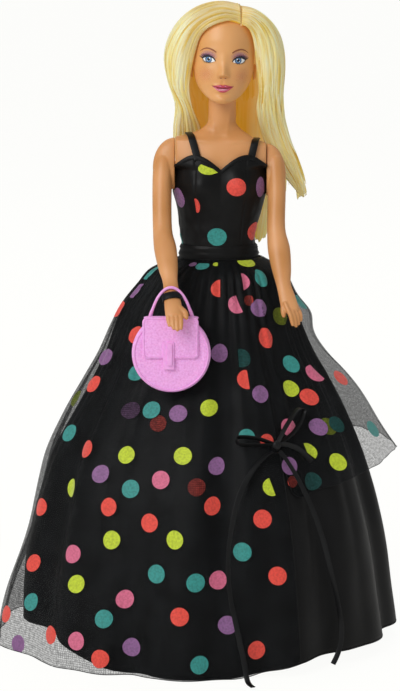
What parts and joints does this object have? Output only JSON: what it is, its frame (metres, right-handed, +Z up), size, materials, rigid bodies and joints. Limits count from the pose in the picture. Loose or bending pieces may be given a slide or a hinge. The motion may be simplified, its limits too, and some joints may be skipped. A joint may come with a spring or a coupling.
{
  "type": "fashion doll",
  "caption": "Fashion doll with long fair hair in a black ball gown with coloured dots, holding a small round handbag.",
  "frame": {"origin": "middle of the floor rectangle under the gown", "axes": "+Z up, the doll faces -Y and its left hand is on +X"},
  "size_m": [0.1852, 0.1645, 0.29],
  "materials": {
    "skin": "soft vinyl with a slight sheen",
    "inner_plastic": "moulded",
    "hair": "fine glossy fibre",
    "satin": "satin",
    "tulle": "sheer net with printed dots",
    "bag": "grained",
    "shoe": "gloss"
  },
  "bodies": {
    "torso": {"torso_front": "skin", "torso_back": "skin", "hip_bracket": "inner_plastic", "hip_pin": "inner_plastic", "bodice_front": "satin", "bodice_back_left": "satin", "bodice_back_right": "satin", "back_closure": "satin", "neckline_binding": "satin", "strap_right": "satin", "strap_left": "satin", "waistband": "satin", "satin_skirt": "satin", "tulle_overlay": "tulle", "tulle_swag": "tulle", "ribbon_bow": "satin", "ribbon_tail_left": "satin", "ribbon_tail_right": "satin", "hair_fall": "hair"},
    "neck_knob": {"neck_knob": "inner_plastic"},
    "head": {"head": "skin", "hair_crown": "hair"},
    "right_arm": {"right_arm": "skin", "wrist_band": "satin"},
    "left_arm": {"left_arm": "skin"},
    "right_leg": {"right_leg": "skin", "right_shoe": "shoe"},
    "left_leg": {"left_leg": "skin", "left_shoe": "shoe"},
    "bag": {"bag_front": "bag", "bag_back": "bag", "bag_flap": "bag", "bag_clasp": "bag", "bag_handle": "bag"}
  },
  "joints": [
    {"name": "neck_turn", "type": "hinge", "parent": "torso", "child": "neck_knob", "pos_m": [0.0093, 0, 0.2475], "axis": [0, 0, 1], "range_deg": [-75, 75], "deforming": ["hair_fall"]},
    {"name": "head_nod", "type": "hinge", "parent": "neck_knob", "child": "head", "pos_m": [0.0093, 0, 0.2534], "axis": [1, 0, 0], "range_deg": [-8, 8], "deforming": ["hair_fall"]},
    {"name": "right_shoulder", "type": "hinge", "parent": "torso", "child": "right_arm", "pos_m": [-0.0111, 0, 0.2225], "axis": [-1, 0, 0], "range_deg": [0, 85]},
    {"name": "left_shoulder", "type": "hinge", "parent": "torso", "child": "left_arm", "pos_m": [0.0297, 0, 0.2225], "axis": [-1, 0, 0], "range_deg": [0, 115]},
    {"name": "bag_hang", "type": "hinge", "parent": "right_arm", "child": "bag", "pos_m": [-0.0129, -0.0438, 0.1677], "axis": [-1, 0, 0], "range_deg": [-85, 0]},
    {"name": "right_hip", "type": "hinge", "parent": "torso", "child": "right_leg", "pos_m": [0.0093, 0, 0.1515], "axis": [-1, 0, 0], "range_deg": [-8, 10]},
    {"name": "left_hip", "type": "hinge", "parent": "torso", "child": "left_leg", "pos_m": [0.0093, 0, 0.1515], "axis": [-1, 0, 0], "range_deg": [-8, 10]}
  ],
  "couplings": [
    {"joint": "bag_hang", "follows": "right_shoulder", "ratio": -1}
  ]
}
